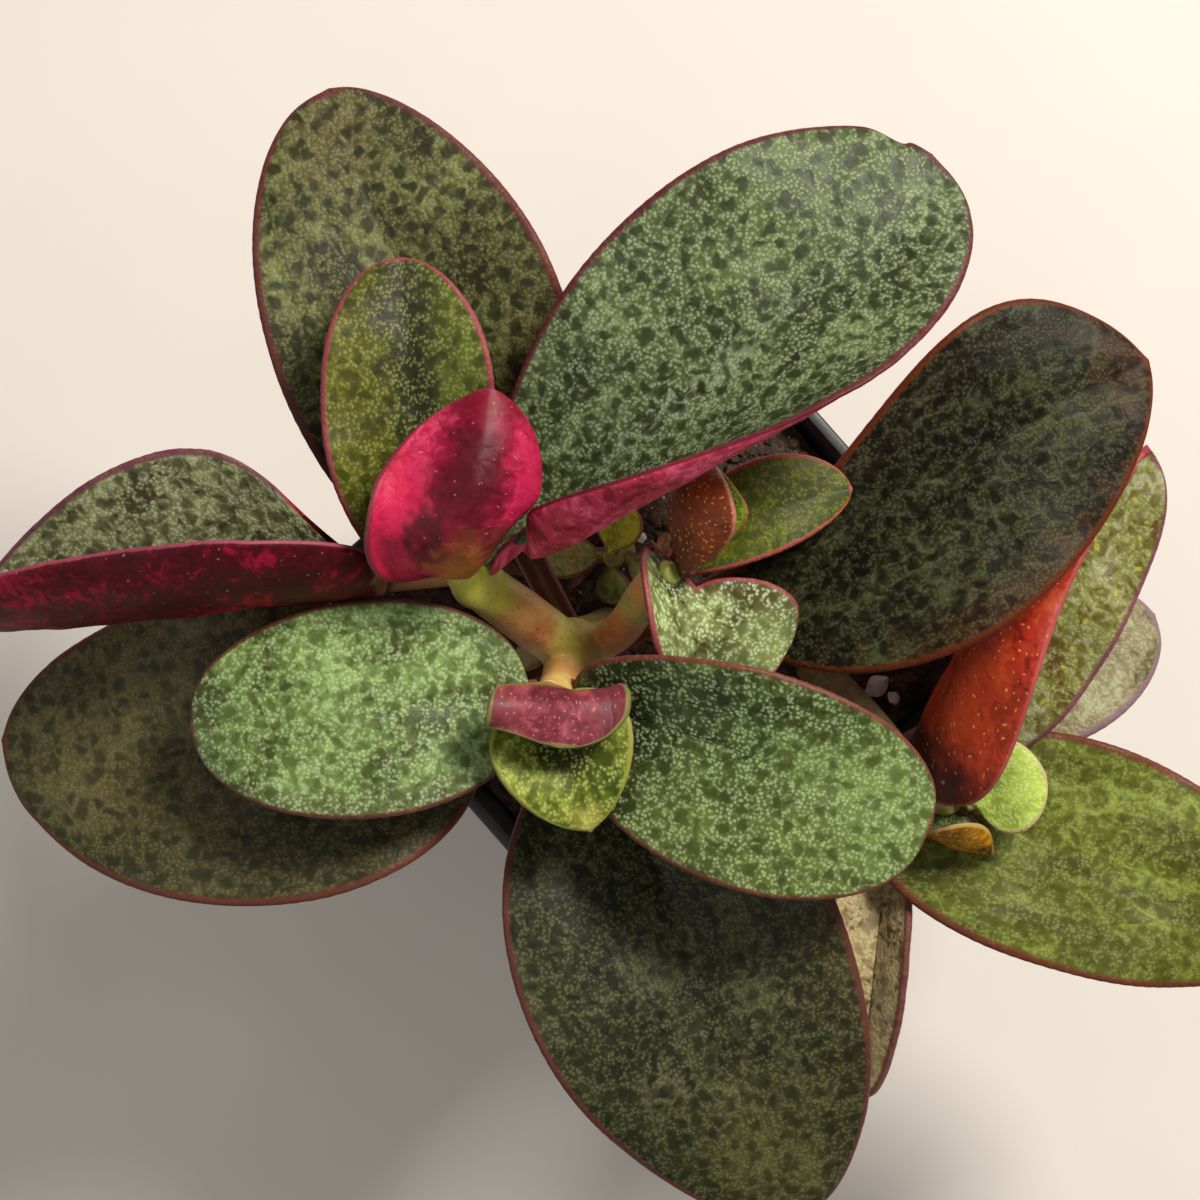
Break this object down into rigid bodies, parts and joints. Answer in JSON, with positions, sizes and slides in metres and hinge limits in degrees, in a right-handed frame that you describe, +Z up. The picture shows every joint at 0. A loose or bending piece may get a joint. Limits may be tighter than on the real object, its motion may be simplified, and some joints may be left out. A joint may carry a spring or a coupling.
{
  "type": "potted succulent",
  "caption": "Young broad-leaved succulent with spotted green and crimson-backed leaves on fleshy stems, rooted in soil in a small square tapered pot with a rim band.",
  "frame": {"origin": "middle of the pot's flat base, on the surface that the pot stands on", "axes": "+Z up, X and Y along the sides of the square pot"},
  "size_m": [0.1384, 0.1591, 0.1226],
  "materials": {
    "leaf_dark_green": "dark olive succulent leaf, slightly glossy, spotted",
    "leaf_light_green": "light green succulent leaf with dark spots and white specks",
    "leaf_lime_green": "yellow-green young succulent leaf",
    "leaf_crimson": "crimson leaf underside, satin",
    "stem_green": "fleshy yellow-green to salmon stem",
    "withered_leaf": "dry papery leaf scrap",
    "potting_soil": "damp dark potting mix with bark and perlite",
    "black_plastic": "thin black nursery pot plastic, matte"
  },
  "bodies": {
    "root": {"leaf_back_left": "leaf_dark_green", "leaf_dark_left": "leaf_dark_green", "leaf_dark_front": "leaf_dark_green", "leaf_dark_right": "leaf_dark_green", "leaf_side_front": "leaf_dark_green", "leaf_deep_left": "leaf_dark_green", "leaf_deep_front": "leaf_dark_green", "leaf_deep_right": "leaf_dark_green", "leaf_large_back_right": "leaf_light_green", "leaf_light_left": "leaf_light_green", "leaf_light_front_right": "leaf_light_green", "leaf_mint_right": "leaf_light_green", "leaf_side_back_low": "leaf_light_green", "leaf_lime_back": "leaf_lime_green", "leaf_young_front": "leaf_lime_green", "leaf_small_right": "leaf_lime_green", "leaf_side_right": "leaf_lime_green", "leaf_side_young": "leaf_lime_green", "leaf_deep_back": "leaf_lime_green", "leaf_cupped_crimson": "leaf_crimson", "leaf_folded_left": "leaf_crimson", "leaf_young_upright": "leaf_crimson", "leaf_side_folded": "leaf_crimson", "leaf_side_cupped": "leaf_crimson", "leaf_small_cupped": "leaf_crimson", "stem_main": "stem_green", "stem_side": "stem_green", "stem_deep": "stem_green", "withered_scrap": "withered_leaf", "soil": "potting_soil", "pot": "black_plastic"}
  },
  "joints": []
}
